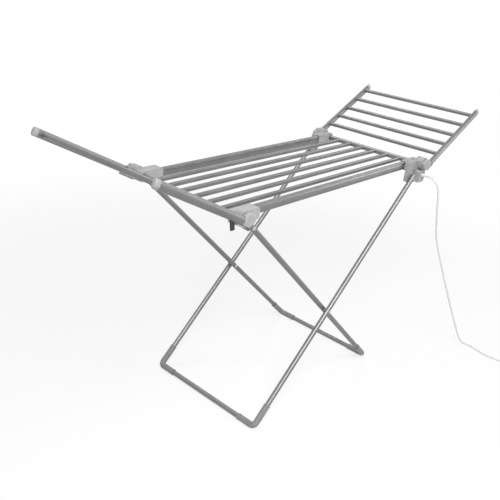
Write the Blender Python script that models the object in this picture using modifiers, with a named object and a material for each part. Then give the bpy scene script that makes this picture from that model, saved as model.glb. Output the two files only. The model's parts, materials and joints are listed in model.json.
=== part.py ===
# A winged, heated clothes airer: a flat rack of bars on two crossed leg frames,
# a wing of bars hinged at each end, and a mains cord at one corner.
# Units are metres. +Z is up, the floor is at zero and the rack runs along X.
# Near is -Y and far is +Y, left is -X and right is +X.

from math import atan2, ceil, cos, pi, radians, sin, tan

import bmesh
import bpy
from mathutils import Matrix, Vector

# Rack
rack_length = 0.954          # between the centres of the two end rails
rack_height = 0.778          # centre of the bars above the floor
side_rail_spread = 0.394     # between the centres of the two side rails
side_rail_width = 0.017
side_rail_height = 0.030
side_rail_corner = 0.008
inner_bar_diameter = 0.015
inner_bar_count = 6
end_rail_diameter = 0.019
tube_wall = 0.0012
bar_seat = 0.0042            # how far a bar goes into the tube that carries it

# Leg frames
leg_diameter = 0.0175
pivot_inset = 0.059          # of the pivots and the hooks from the end rails
pivot_drop = 0.044           # below the centre of the bars
foot_spread = 0.665          # between the two floor tubes
foot_height = 0.010          # centre of the floor tubes
leg_spacing = 0.0016         # between the inner and the outer legs
leg_overhang = 0.014         # of a leg past its pivot or stud
elbow_diameter = 0.0215
elbow_reach = 0.045          # from the corner to the end of a sleeve
elbow_bend = 0.022
elbow_seat = 0.020           # of a tube in its sleeve
elbow_gap = 0.0006           # round a tube in its sleeve
rivet_diameter = 0.006
rivet_head_diameter = 0.012
rivet_head = 0.0009
pivot_pin_diameter = 0.007
pivot_head_diameter = 0.013
stud_diameter = 0.007
cap_flange = 0.0030
cap_plug = 0.011
cap_face_share = 0.6         # of the leg's radius
cap_edge_share = 0.45        # of the flange

# Wings
wing_tilt_degrees = 27.4
wing_reach = 0.3615          # from the hinge pin to the centre of the arm's tip
wing_bar_diameter = 0.014
arm_width = 0.016
arm_height = 0.025
arm_wall = 0.0015
arm_edge = 0.0060
arm_gap = 0.0010             # between an arm and the outer leg
wing_bar_shares = (0.21, 0.382, 0.55, 0.738, 0.924)
wing_pin_diameter = 0.008
knuckle_drop = 0.0135        # of the arm's centre line below the hinge pin
knuckle_front = 0.016        # from the hinge pin to the start of the tube
knuckle_top = 0.006          # of the flat top past the hinge pin
knuckle_plug = 0.014         # of the knuckle inside the tube
knuckle_root = 0.008         # of the plug inside the knuckle
knuckle_steps = 8
fold_gap = 0.0010            # between a folded wing's bars and the corner sleeves

# Corner mouldings
moulding_wall = 0.0020
moulding_end_wall = 0.0040   # past the end rail
moulding_edge = 0.0022
moulding_corner = 0.0065
web = 0.0040                 # plastic between the side rail and the end rail
end_rail_seat = 0.029
lug_radius = 0.0140
lug_thickness = 0.0140
ear_gap = 0.0120             # from the hook plate's side of the moulding to the ear's start
ear_radius = 0.0165
shelf_start = 0.002          # of the stop that a lowered wing rests on, from the hinge pin
shelf_length = 0.032
shelf_thickness = 0.0060
shelf_root = 0.0060          # of the stop inside the ear
gusset_inset = 0.0017        # of the gusset's foot in the stop
gusset_back_share = 0.6      # of the ear's radius
gusset_front_share = 0.9
gusset_low_share = 0.25
hook_width = 0.034
hook_depth = 0.0130          # of the prongs below the stud
hook_slot = 0.0086
hook_corner = 0.0040
pin_bottom = 0.0040          # plastic left behind a blind pin hole

# Heating cable
cable_diameter = 0.0044
cable_bend = 0.0034
cable_lead = 0.020
wing_cable_lead = 0.037      # from the hinge pin to the start of a wing's cable

# Switch housing, rocker and strain relief
housing_length = 0.042
housing_width = 0.043
housing_height = 0.046
housing_corner = 0.006
housing_edge = 0.0025
housing_offset = 0.0325      # from the right pivot to the housing's near side along X
rocker_length = 0.0210
rocker_width = 0.0130
rocker_pivot_depth = 0.0065
rocker_boss = 0.0045
rocker_rise = 0.0030
rocker_sink = 0.0010         # of the rocker's raised edge in its pocket
rocker_angle_degrees = 6.0
rocker_pocket = 0.0125
rocker_clearance = 0.0006
relief_length = 0.0250
relief_base_diameter = 0.0130
relief_tip_diameter = 0.0088
relief_groove = 0.0007
relief_rib_count = 4
relief_drop = 0.0175         # of its centre below the housing's top

# Cord, coil and plug
cord_diameter = 0.0070
coil_turns = 3
coil_points_per_turn = 24
coil_radius = 0.0415
coil_pitch = 0.0080
coil_layer_rise = 0.0079
coil_centre = (0.8000, -0.7150)
coil_tail = 0.042            # from the last turn to the plug
cord_point_step = 0.0205
plug_length = 0.046
plug_width = 0.050
plug_thickness = 0.0226
plug_corner = 0.009
plug_edge = 0.003
plug_neck_length = 0.010
plug_neck_diameter = 0.013
pin_rise = 0.0180
pin_length = 0.0063
pin_thickness = 0.0040
pin_earth_length = 0.0080
pin_spread = 0.0222
pin_earth_offset = 0.0110

# The cord's route from the strain relief to the coil, a list chosen by hand
cord_route = (
    (0.4725, -0.2930, 0.7380),
    (0.4760, -0.3100, 0.7200),
    (0.4830, -0.3170, 0.6900),
    (0.5020, -0.3190, 0.6150),
    (0.5400, -0.3220, 0.4980),
    (0.5830, -0.3420, 0.3920),
    (0.6330, -0.3670, 0.2720),
    (0.6830, -0.3930, 0.1560),
    (0.7170, -0.4120, 0.0780),
    (0.7380, -0.4260, 0.0300),
    (0.7520, -0.4430, 0.0080),
    (0.7590, -0.4700, 0.0035),
    (0.7520, -0.5050, 0.0035),
    (0.7430, -0.5500, 0.0035),
    (0.7480, -0.6000, 0.0035),
    (0.7560, -0.6500, 0.0035),
)

# Fits and working values
fit_gap = 0.0003
running_gap = 0.0005
weld_distance = 0.00001
cut_overrun = 0.0020
floor_cut_depth = 0.010

# Sides of round pieces
tube_sides = 16
pin_sides = 12
elbow_sides_resolution = 4
arc_steps = 4
bend_steps = 6
cable_bend_steps = 2
route_steps = 24             # between two points of the cord's route

# Values that follow from the sizes above
half_rail = side_rail_spread / 2
half_rack = rack_length / 2
leg_radius = leg_diameter / 2
pivot_x = half_rack - pivot_inset
pivot_z = rack_height - pivot_drop
foot_x = foot_spread / 2
lug_outer_y = half_rail + side_rail_width / 2
inner_leg_y = lug_outer_y + running_gap + leg_radius
outer_leg_y = inner_leg_y + leg_diameter + leg_spacing
arm_y = outer_leg_y + leg_radius + arm_gap + arm_width / 2
arm_inner_y = arm_y - arm_width / 2
arm_outer_y = arm_y + arm_width / 2
wing_tilt = radians(wing_tilt_degrees)
sleeve_inner_y = half_rail - side_rail_width / 2 - moulding_wall
sleeve_outer_y = outer_leg_y - leg_radius - running_gap
ear_outer_y = arm_inner_y - running_gap
sleeve_half_height = side_rail_height / 2 + moulding_wall
folded_bar_z = rack_height + sleeve_half_height + fold_gap + wing_bar_diameter / 2
wing_z = folded_bar_z - knuckle_drop
heel_radius = knuckle_drop + arm_height / 2
ear_start_y = sleeve_outer_y - ear_gap
sleeve_inner_x = pivot_x - hook_width / 2
sleeve_outer_x = half_rack + end_rail_diameter / 2 + moulding_end_wall
rail_end_x = half_rack - end_rail_diameter / 2 - web
crossing_z = pivot_z - pivot_x * (pivot_z - foot_height) / (pivot_x + foot_x)
leg_slope = atan2(pivot_z - foot_height, pivot_x + foot_x)
housing_x = pivot_x + housing_offset + housing_length / 2
housing_top_z = rack_height - sleeve_half_height - fit_gap
housing_y = -(ear_outer_y - housing_width / 2)
relief_z = housing_top_z - relief_drop
housing_front_y = housing_y - housing_width / 2
cord_radius = cord_diameter / 2

facing_x = Matrix(((0, 0, 1, 0), (1, 0, 0, 0), (0, 1, 0, 0), (0, 0, 0, 1)))
facing_y = Matrix.Rotation(radians(90), 4, "X")


def start_empty():
    for obj in list(bpy.data.objects):
        bpy.data.objects.remove(obj)


def new_collection(name):
    collection = bpy.data.collections.new(name)
    bpy.context.scene.collection.children.link(collection)
    return collection


def new_material(name, colour, roughness, metallic):
    material = bpy.data.materials.new(name)
    material.use_nodes = True
    shader = material.node_tree.nodes["Principled BSDF"]
    shader.inputs["Base Color"].default_value = (*colour, 1)
    shader.inputs["Roughness"].default_value = roughness
    shader.inputs["Metallic"].default_value = metallic
    return material


def add_piece(name, data, matrix):
    piece = bpy.data.objects.new(name, data)
    piece.matrix_world = matrix
    parts.objects.link(piece)
    return piece


def finish(piece, material):
    piece.data.materials.append(material)
    if piece.type == "MESH":
        piece.data.shade_smooth()
        piece.data.set_sharp_from_angle(angle=radians(35))
    return piece


def as_mesh(piece):
    # A curve made a mesh, with its loose caps welded.
    name = piece.name
    matrix = piece.matrix_world.copy()
    bpy.context.view_layer.update()
    graph = bpy.context.evaluated_depsgraph_get()
    data = bpy.data.meshes.new_from_object(piece.evaluated_get(graph))
    shape = bmesh.new()
    shape.from_mesh(data)
    bmesh.ops.remove_doubles(shape, verts=shape.verts, dist=weld_distance)
    bmesh.ops.recalc_face_normals(shape, faces=shape.faces)
    shape.to_mesh(data)
    shape.free()
    bpy.data.objects.remove(piece)
    data.name = name
    return add_piece(name, data, matrix)


def bevelled(piece, width, segments):
    bevel = piece.modifiers.new("Rounded edges", "BEVEL")
    bevel.width = width
    bevel.segments = segments
    bevel.limit_method = "ANGLE"
    bevel.angle_limit = radians(50)
    return piece


def combine(piece, other, operation):
    # The other piece becomes a guide that only shapes this one.
    parts.objects.unlink(other)
    cutters.objects.link(other)
    other.hide_render = True
    other.display_type = "WIRE"
    boolean = piece.modifiers.new(operation.title() + " " + other.name, "BOOLEAN")
    boolean.operation = operation
    boolean.solver = "EXACT"
    boolean.object = other


def plate(name, outlines, matrix, depth):
    # A flat outline with its holes, extruded evenly to both sides of its own plane.
    curve = bpy.data.curves.new(name, "CURVE")
    curve.dimensions = "2D"
    curve.fill_mode = "BOTH"
    curve.extrude = depth / 2
    for outline in outlines:
        spline = curve.splines.new("POLY")
        spline.points.add(len(outline) - 1)
        for point, (across, up) in zip(spline.points, outline):
            point.co = (across, up, 0, 1)
        spline.use_cyclic_u = True
    return as_mesh(add_piece(name, curve, matrix))


def upright_plate(name, outline, y_start, y_end):
    # An outline in X and Z that fills the space between two values of Y.
    place = Matrix.Translation((0, (y_start + y_end) / 2, 0)) @ facing_y
    return plate(name, [outline], place, abs(y_end - y_start))


def turned(name, profile, start, end, sides, closed=False):
    # A profile of radii and heights, turned about the line from start to end.
    data = bpy.data.meshes.new(name)
    points = [(radius, 0, height) for radius, height in profile]
    edges = [(index, index + 1) for index in range(len(points) - 1)]
    if closed:
        edges.append((len(points) - 1, 0))
    data.from_pydata(points, edges, [])
    axis = Vector(end) - Vector(start)
    turn = axis.to_track_quat("Z", "Y").to_matrix().to_4x4()
    piece = add_piece(name, data, Matrix.Translation(start) @ turn)
    screw = piece.modifiers.new("Turn", "SCREW")
    screw.steps = sides
    screw.render_steps = sides
    screw.use_merge_vertices = True
    screw.merge_threshold = weld_distance
    screw.use_smooth_shade = True
    return piece


def round_tube(name, start, end, diameter, wall=tube_wall, sides=tube_sides):
    length = (Vector(end) - Vector(start)).length
    outer = diameter / 2
    inner = outer - wall
    profile = [(outer, length), (outer, 0), (inner, 0), (inner, length)]
    return turned(name, profile, start, end, sides, closed=True)


def round_bar(name, start, end, diameter, sides=pin_sides):
    length = (Vector(end) - Vector(start)).length
    radius = diameter / 2
    return turned(name, [(0, length), (radius, length), (radius, 0), (0, 0)], start, end, sides)


def cylinders(name, lines, diameter, sides=tube_sides):
    # One cutter of several cylinders, each along its own line.
    data = bpy.data.meshes.new(name)
    shape = bmesh.new()
    for start, end in lines:
        axis = Vector(end) - Vector(start)
        middle = (Vector(end) + Vector(start)) / 2
        turn = axis.to_track_quat("Z", "Y").to_matrix().to_4x4()
        bmesh.ops.create_cone(
            shape,
            cap_ends=True,
            segments=sides,
            radius1=diameter / 2,
            radius2=diameter / 2,
            depth=axis.length,
            matrix=Matrix.Translation(middle) @ turn,
        )
    shape.to_mesh(data)
    shape.free()
    return add_piece(name, data, Matrix.Identity(4))


def swept(name, points, diameter, resolution):
    curve = bpy.data.curves.new(name, "CURVE")
    curve.dimensions = "3D"
    curve.bevel_depth = diameter / 2
    curve.bevel_resolution = resolution
    curve.use_fill_caps = True
    spline = curve.splines.new("POLY")
    spline.points.add(len(points) - 1)
    for point, place in zip(spline.points, points):
        point.co = (*place, 1)
    return add_piece(name, curve, Matrix.Identity(4))


def box(name, low, high):
    data = bpy.data.meshes.new(name)
    size = Vector(high) - Vector(low)
    middle = (Vector(high) + Vector(low)) / 2
    shape = bmesh.new()
    place = Matrix.Translation(middle) @ Matrix.Diagonal((*size, 1))
    bmesh.ops.create_cube(shape, size=1, matrix=place)
    shape.to_mesh(data)
    shape.free()
    return add_piece(name, data, Matrix.Identity(4))


def arc(centre, radius, start_angle, end_angle, steps=arc_steps):
    points = []
    for step in range(steps + 1):
        angle = start_angle + (end_angle - start_angle) * step / steps
        points.append((centre[0] + radius * cos(angle), centre[1] + radius * sin(angle)))
    return points


def capsule(first, second, radius, steps=arc_steps * 2):
    # A straight band with a half-round at each end.
    lie = atan2(second[1] - first[1], second[0] - first[0])
    points = arc(second, radius, lie - pi / 2, lie + pi / 2, steps)
    points += arc(first, radius, lie + pi / 2, lie + pi * 3 / 2, steps)
    return points


def rounded_rectangle(left, right, bottom, top, radius, steps=3):
    points = arc((right - radius, top - radius), radius, 0, pi / 2, steps)
    points += arc((left + radius, top - radius), radius, pi / 2, pi, steps)
    points += arc((left + radius, bottom + radius), radius, pi, pi * 3 / 2, steps)
    points += arc((right - radius, bottom + radius), radius, pi * 3 / 2, pi * 2, steps)
    return points


def rounded_path(corners, radius, steps):
    # A line through the corners, each corner rounded with an arc.
    corners = [Vector(corner) for corner in corners]
    points = [corners[0]]
    for before, corner, after in zip(corners, corners[1:], corners[2:]):
        back = (before - corner).normalized()
        ahead = (after - corner).normalized()
        half = back.angle(ahead) / 2
        run = radius / tan(half)
        centre = corner + (back + ahead).normalized() * radius / sin(half)
        from_centre = corner + back * run - centre
        to_centre = corner + ahead * run - centre
        sweep = from_centre.angle(to_centre)
        for step in range(steps + 1):
            share = step / steps
            blend = from_centre * sin((1 - share) * sweep) + to_centre * sin(share * sweep)
            points.append(centre + blend / sin(sweep))
    points.append(corners[-1])
    return points


def joint_empty(name, place):
    empty = bpy.data.objects.new(name, None)
    empty.location = place
    parts.objects.link(empty)
    bpy.context.view_layer.update()
    return empty


def hang_on(empty, pieces):
    for piece in pieces:
        piece.parent = empty
        piece.matrix_parent_inverse = empty.matrix_world.inverted()


def make_side_rail(name, side):
    height = side_rail_height / 2
    width = side_rail_width / 2
    outer = rounded_rectangle(-width, width, -height, height, side_rail_corner)
    inner = rounded_rectangle(
        tube_wall - width,
        width - tube_wall,
        tube_wall - height,
        height - tube_wall,
        side_rail_corner - tube_wall,
    )
    length = 2 * (rail_end_x - fit_gap)
    place = Matrix.Translation((0, side * half_rail, rack_height)) @ facing_x
    finish(plate(name, [outer, inner], place, length), silver_paint)


def inner_bar_places():
    pitch = side_rail_spread / (inner_bar_count + 1)
    return [pitch * (index + 1) - half_rail for index in range(inner_bar_count)]


def make_inner_bars():
    end_x = half_rack - end_rail_diameter / 2 + bar_seat
    for number, y in enumerate(inner_bar_places(), start=1):
        start = (-end_x, y, rack_height)
        end = (end_x, y, rack_height)
        finish(round_tube(f"rack_bar_{number}", start, end, inner_bar_diameter), silver_paint)


def make_end_rail(name, side):
    half = sleeve_inner_y + end_rail_seat - fit_gap
    x = side * half_rack
    rail = round_tube(name, (x, -half, rack_height), (x, half, rack_height), end_rail_diameter)
    near_x = side * (half_rack - end_rail_diameter / 2 - cut_overrun)
    lines = [((near_x, y, rack_height), (x, y, rack_height)) for y in inner_bar_places()]
    holes = cylinders(name + "_bar_holes", lines, inner_bar_diameter + 2 * fit_gap)
    combine(rail, holes, "DIFFERENCE")
    finish(rail, silver_paint)


def moulding_outline(side):
    # The sleeve over the ends of the side rail and the end rail.
    left, right = sorted((side * sleeve_inner_x, side * sleeve_outer_x))
    bottom = rack_height - sleeve_half_height
    top = rack_height + sleeve_half_height
    return rounded_rectangle(left, right, bottom, top, moulding_corner)


def lug_outline(side):
    # The plate below the sleeve that carries an inner leg's pin.
    centre = (side * pivot_x, pivot_z)
    top = (side * pivot_x, rack_height - sleeve_half_height - lug_radius / 2)
    return capsule(centre, top, lug_radius)


def hook_outline(side):
    # Two prongs that point down beside a slot with a round top, over the stud.
    middle = side * pivot_x
    half = hook_width / 2
    slot = hook_slot / 2
    top = rack_height
    bottom = pivot_z - hook_depth
    points = [(middle + half, top), (middle - half, top)]
    points += arc((middle - half + hook_corner, bottom + hook_corner), hook_corner, pi, pi * 3 / 2, 3)
    points.append((middle - slot, bottom))
    points += arc((middle, pivot_z), slot, pi, 0)
    points.append((middle + slot, bottom))
    points += arc((middle + half - hook_corner, bottom + hook_corner), hook_corner, -pi / 2, 0, 3)
    return points


def make_corner(name, side, depth):
    # One corner moulding, at the end given by side and on the flank given by depth.
    piece = upright_plate(name, moulding_outline(side), depth * sleeve_inner_y, depth * sleeve_outer_y)
    bevelled(piece, moulding_edge, 2)
    hinge = (side * half_rack, wing_z)
    ear_foot = (side * half_rack, rack_height - sleeve_half_height + ear_radius)
    ear = upright_plate(
        name + "_ear",
        capsule(ear_foot, hinge, ear_radius),
        depth * ear_start_y,
        depth * ear_outer_y,
    )
    combine(piece, ear, "UNION")
    if side < 0:
        hanger = upright_plate(
            name + "_lug",
            lug_outline(side),
            depth * (lug_outer_y - lug_thickness),
            depth * lug_outer_y,
        )
    else:
        hanger = upright_plate(
            name + "_hook",
            hook_outline(side),
            depth * (sleeve_outer_y - lug_thickness),
            depth * (sleeve_outer_y - fit_gap),
        )
    combine(piece, hanger, "UNION")
    combine(piece, wing_stop(name + "_stop", side, depth), "UNION")
    combine(piece, stop_gusset(name + "_gusset", side, depth), "UNION")

    half_width = side_rail_width / 2 + fit_gap
    half_height = side_rail_height / 2 + fit_gap
    pocket = box(
        name + "_rail_pocket",
        (-rail_end_x, depth * half_rail - half_width, rack_height - half_height),
        (rail_end_x, depth * half_rail + half_width, rack_height + half_height),
    )
    combine(piece, pocket, "DIFFERENCE")
    bore_start = (side * half_rack, depth * (sleeve_inner_y - cut_overrun), rack_height)
    bore_end = (side * half_rack, depth * (sleeve_inner_y + end_rail_seat), rack_height)
    bore = cylinders(name + "_end_rail_bore", [(bore_start, bore_end)], end_rail_diameter + 2 * fit_gap)
    combine(piece, bore, "DIFFERENCE")
    pin_start = (side * half_rack, depth * (ear_start_y + pin_bottom - fit_gap), wing_z)
    pin_end = (side * half_rack, depth * (ear_outer_y + cut_overrun), wing_z)
    pin_hole = cylinders(name + "_pin_hole", [(pin_start, pin_end)], wing_pin_diameter + 2 * fit_gap)
    combine(piece, pin_hole, "DIFFERENCE")
    if side < 0:
        start = (side * pivot_x, depth * (lug_outer_y - lug_thickness - cut_overrun), pivot_z)
        end = (side * pivot_x, depth * (lug_outer_y + cut_overrun), pivot_z)
        lug_hole = cylinders(name + "_lug_hole", [(start, end)], pivot_pin_diameter + 2 * fit_gap)
        combine(piece, lug_hole, "DIFFERENCE")
    finish(piece, grey_plastic)


def along_arm(side, distance, offset=0):
    # A point of the lowered wing: a distance from the hinge pin and an offset across the arm.
    x = half_rack + distance * cos(wing_tilt) - offset * sin(wing_tilt)
    return side * x, wing_z + distance * sin(wing_tilt) + offset * cos(wing_tilt)


def arm_outline(side, corners):
    return [along_arm(side, distance, offset) for distance, offset in corners]


def wing_stop(name, side, depth):
    # A shelf under the lowered arm's heel.
    top = -heel_radius - fit_gap
    bottom = top - shelf_thickness
    end = shelf_start + shelf_length
    outline = arm_outline(side, [(shelf_start, top), (end, top), (end, bottom), (shelf_start, bottom)])
    shelf_start_y = sleeve_outer_y - shelf_root
    return upright_plate(name, outline, depth * shelf_start_y, depth * (arm_outer_y - arm_edge))


def stop_gusset(name, side, depth):
    # The web that carries the stop from the ear, beside the arm.
    foot = -heel_radius - gusset_inset - fit_gap
    corners = [
        (-ear_radius * gusset_back_share, -ear_radius * gusset_back_share),
        (ear_radius * gusset_front_share, -ear_radius * gusset_low_share),
        (shelf_length - shelf_start, foot),
        (shelf_start + fold_gap, foot),
    ]
    outline = arm_outline(side, corners)
    return upright_plate(name, outline, depth * (ear_start_y + fit_gap), depth * (ear_outer_y - fit_gap))


def knuckle_outline(side):
    # Round about the pin below and behind it, so that it turns clear of the stop.
    points = [(knuckle_front, -heel_radius)]
    points += arc((0, 0), heel_radius, -pi / 2, -pi * 7 / 6, knuckle_steps)
    points.append((knuckle_top, heel_radius / 2))
    points.append((knuckle_front, arm_height / 2 - knuckle_drop))
    return arm_outline(side, points)


def make_wing_pin(name, side, depth):
    # The plastic knuckle in the arm's heel, with the hinge pin moulded in one with it.
    piece = upright_plate(name, knuckle_outline(side), depth * arm_inner_y, depth * arm_outer_y)
    bevelled(piece, moulding_edge, 2)
    half = arm_height / 2 - arm_wall - fit_gap
    low = -knuckle_drop - half
    high = -knuckle_drop + half
    root = knuckle_front - knuckle_root
    tip = knuckle_front + knuckle_plug
    plug = upright_plate(
        name + "_plug",
        arm_outline(side, [(root, low), (tip, low), (tip, high), (root, high)]),
        depth * (arm_inner_y + arm_wall + fit_gap),
        depth * (arm_outer_y - arm_wall - fit_gap),
    )
    bevelled(plug, arm_edge - arm_wall, 2)
    combine(piece, plug, "UNION")
    start = (side * half_rack, depth * (ear_start_y + pin_bottom), wing_z)
    end = (side * half_rack, depth * arm_y, wing_z)
    combine(piece, cylinders(name + "_shank", [(start, end)], wing_pin_diameter), "UNION")
    return finish(piece, grey_plastic)


def make_arm(name, side, depth):
    heel = along_arm(side, 0, -knuckle_drop)
    tip = along_arm(side, wing_reach, -knuckle_drop)
    arm = upright_plate(name, capsule(heel, tip, arm_height / 2), depth * arm_inner_y, depth * arm_outer_y)
    bevelled(arm, arm_edge, 2)
    hollow = upright_plate(
        name + "_hollow",
        capsule(heel, tip, arm_height / 2 - arm_wall),
        depth * (arm_inner_y + arm_wall),
        depth * (arm_outer_y - arm_wall),
    )
    bevelled(hollow, arm_edge - arm_wall, 2)
    combine(arm, hollow, "DIFFERENCE")
    cut = knuckle_front + fit_gap
    low = -arm_height - knuckle_drop
    high = arm_height - knuckle_drop
    trim = upright_plate(
        name + "_trim",
        arm_outline(side, [(-arm_height, low), (cut, low), (cut, high), (-arm_height, high)]),
        depth * (arm_inner_y - cut_overrun),
        depth * (arm_outer_y + cut_overrun),
    )
    combine(arm, trim, "DIFFERENCE")
    lines = []
    for share in wing_bar_shares:
        x, z = along_arm(side, share * wing_reach, -knuckle_drop)
        lines.append(((x, depth * (arm_inner_y - cut_overrun), z), (x, depth * arm_y, z)))
    holes = cylinders(name + "_bar_holes", lines, wing_bar_diameter + 2 * fit_gap)
    combine(arm, holes, "DIFFERENCE")
    return finish(arm, silver_paint)


def make_wing(word, side):
    pieces = [make_arm(f"{word}_wing_arm_near", side, -1), make_arm(f"{word}_wing_arm_far", side, 1)]
    pieces.append(make_wing_pin(f"wing_pin_{word}_near", side, -1))
    pieces.append(make_wing_pin(f"wing_pin_{word}_far", side, 1))
    half = arm_inner_y + bar_seat
    for number, share in enumerate(wing_bar_shares, start=1):
        x, z = along_arm(side, share * wing_reach, -knuckle_drop)
        bar = round_tube(f"{word}_wing_bar_{number}", (x, -half, z), (x, half, z), wing_bar_diameter)
        pieces.append(finish(bar, silver_paint))
    pieces.append(make_wing_cable(f"{word}_wing_heating_cable", side))
    empty = joint_empty(word + "_wing_hinge", (side * half_rack, 0, wing_z))
    hang_on(empty, pieces)


def make_wing_cable(name, side):
    # The cable lies in the bars and runs from bar to bar inside the arms.
    sag = cable_diameter / 2 + fit_gap - (wing_bar_diameter / 2 - tube_wall) - knuckle_drop
    corners = []
    flank = -1
    x, z = along_arm(side, wing_cable_lead, sag)
    corners.append((x, flank * arm_y, z))
    for share in wing_bar_shares:
        x, z = along_arm(side, share * wing_reach, sag)
        corners.append((x, flank * arm_y, z))
        flank = -flank
        corners.append((x, flank * arm_y, z))
    x, z = along_arm(side, wing_bar_shares[-1] * wing_reach - cable_lead, sag)
    corners.append((x, flank * arm_y, z))
    cable = swept(name, rounded_path(corners, cable_bend, cable_bend_steps), cable_diameter, 1)
    return finish(cable, red_cable)


def make_rack_cable():
    sag = cable_diameter / 2 + fit_gap - (inner_bar_diameter / 2 - tube_wall)
    z = rack_height + sag
    places = inner_bar_places()
    end = 1
    corners = [(end * half_rack, places[0] - cable_lead, z)]
    for y in places:
        corners.append((end * half_rack, y, z))
        end = -end
        corners.append((end * half_rack, y, z))
    corners.append((end * half_rack, places[-1] + cable_lead, z))
    cable = swept("rack_heating_cable", rounded_path(corners, cable_bend, cable_bend_steps), cable_diameter, 1)
    finish(cable, red_cable)


def leg_direction(side):
    # From the foot, at the end given by side, up to the pivot or stud at the other end.
    return Vector((-side * cos(leg_slope), 0, sin(leg_slope)))


def make_leg(name, side, y, top_hole_diameter):
    # A leg whose foot is at the end given by side. Its pivot or stud is at the other end.
    foot = Vector((side * foot_x, y, foot_height))
    top = Vector((-side * pivot_x, y, pivot_z))
    up = leg_direction(side)
    start = foot + up * (elbow_reach - elbow_seat)
    leg = round_tube(name, start, top + up * leg_overhang, leg_diameter)
    across = leg_radius + cut_overrun
    top_line = ((top.x, y - across, top.z), (top.x, y + across, top.z))
    rivet_line = ((0, y - across, crossing_z), (0, y + across, crossing_z))
    top_hole = cylinders(name + "_top_hole", [top_line], top_hole_diameter + 2 * fit_gap, pin_sides)
    rivet_hole = cylinders(name + "_rivet_hole", [rivet_line], rivet_diameter + 2 * fit_gap, pin_sides)
    combine(leg, top_hole, "DIFFERENCE")
    combine(leg, rivet_hole, "DIFFERENCE")
    return finish(leg, silver_paint)


def make_elbow(name, side, y):
    # A bent sleeve over the ends of a leg and a floor tube, cut flat where it stands.
    foot = Vector((side * foot_x, y, foot_height))
    up = leg_direction(side)
    inward = Vector((0, -1 if y > 0 else 1, 0))
    corners = [foot + up * elbow_reach, foot, foot + inward * elbow_reach]
    path = rounded_path(corners, elbow_bend, bend_steps)
    line = swept(name, path, elbow_diameter, elbow_sides_resolution)
    line.data.use_fill_caps = False
    elbow = as_mesh(line)
    shell = elbow.modifiers.new("Sleeve wall", "SOLIDIFY")
    shell.thickness = (elbow_diameter - leg_diameter) / 2 - elbow_gap
    shell.offset = -1
    shell.use_even_offset = True
    reach = elbow_reach + elbow_diameter
    low = foot - Vector((reach, reach, foot_height + floor_cut_depth))
    high = foot + Vector((reach, reach, -foot_height))
    combine(elbow, box(name + "_floor", low, high), "DIFFERENCE")
    return finish(elbow, grey_plastic)


def make_foot_tube(name, side, y):
    half = y - elbow_reach + elbow_seat
    start = (side * foot_x, -half, foot_height)
    end = (side * foot_x, half, foot_height)
    return finish(round_tube(name, start, end, leg_diameter), silver_paint)


def make_leg_cap(name, side, y):
    top = Vector((-side * pivot_x, y, pivot_z))
    up = leg_direction(side)
    rim = top + up * (leg_overhang + fit_gap)
    plug = leg_radius - tube_wall - fit_gap
    profile = [
        (0, cap_plug + cap_flange),
        (leg_radius * cap_face_share, cap_plug + cap_flange),
        (leg_radius, cap_plug + cap_flange * cap_edge_share),
        (leg_radius, cap_plug),
        (plug, cap_plug),
        (plug, leg_radius),
        (0, leg_radius),
    ]
    cap = turned(name, profile, rim - up * cap_plug, rim, tube_sides)
    return finish(cap, white_plastic)


def make_rivet(name, depth):
    # A rivet through both legs at the crossing, with a collar in the space between them.
    inner_face = inner_leg_y - leg_radius - running_gap
    outer_face = outer_leg_y + leg_radius + fit_gap
    collar_start = inner_leg_y + leg_radius + fit_gap
    collar_end = outer_leg_y - leg_radius - fit_gap
    radius = rivet_diameter / 2
    head = rivet_head_diameter / 2
    start = inner_face - rivet_head
    profile = [
        (0, outer_face + rivet_head - start),
        (head, outer_face + rivet_head - start),
        (head, outer_face - start),
        (radius, outer_face - start),
        (radius, collar_end - start),
        (head, collar_end - start),
        (head, collar_start - start),
        (radius, collar_start - start),
        (radius, rivet_head),
        (head, rivet_head),
        (head, 0),
        (0, 0),
    ]
    place = Vector((0, depth * start, crossing_z))
    rivet = turned(name, profile, place, place + Vector((0, depth, 0)), pin_sides)
    return finish(rivet, bright_steel)


def make_pivot_pin(name, depth):
    inner_face = lug_outer_y - lug_thickness - fit_gap
    outer_face = inner_leg_y + leg_radius + fit_gap
    radius = pivot_pin_diameter / 2
    head = pivot_head_diameter / 2
    start = inner_face - rivet_head
    profile = [
        (0, outer_face + rivet_head - start),
        (head, outer_face + rivet_head - start),
        (head, outer_face - start),
        (radius, outer_face - start),
        (radius, rivet_head),
        (head, rivet_head),
        (head, 0),
        (0, 0),
    ]
    place = Vector((-pivot_x, depth * start, pivot_z))
    pin = turned(name, profile, place, place + Vector((0, depth, 0)), pin_sides)
    finish(pin, bright_steel)


def make_hook_stud(name, depth):
    # The stud ends level with the inside of the outer leg, clear of the hook.
    start = (pivot_x, depth * (outer_leg_y - leg_radius), pivot_z)
    end = (pivot_x, depth * (outer_leg_y + leg_radius + fit_gap), pivot_z)
    return finish(round_bar(name, start, end, stud_diameter), bright_steel)


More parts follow.
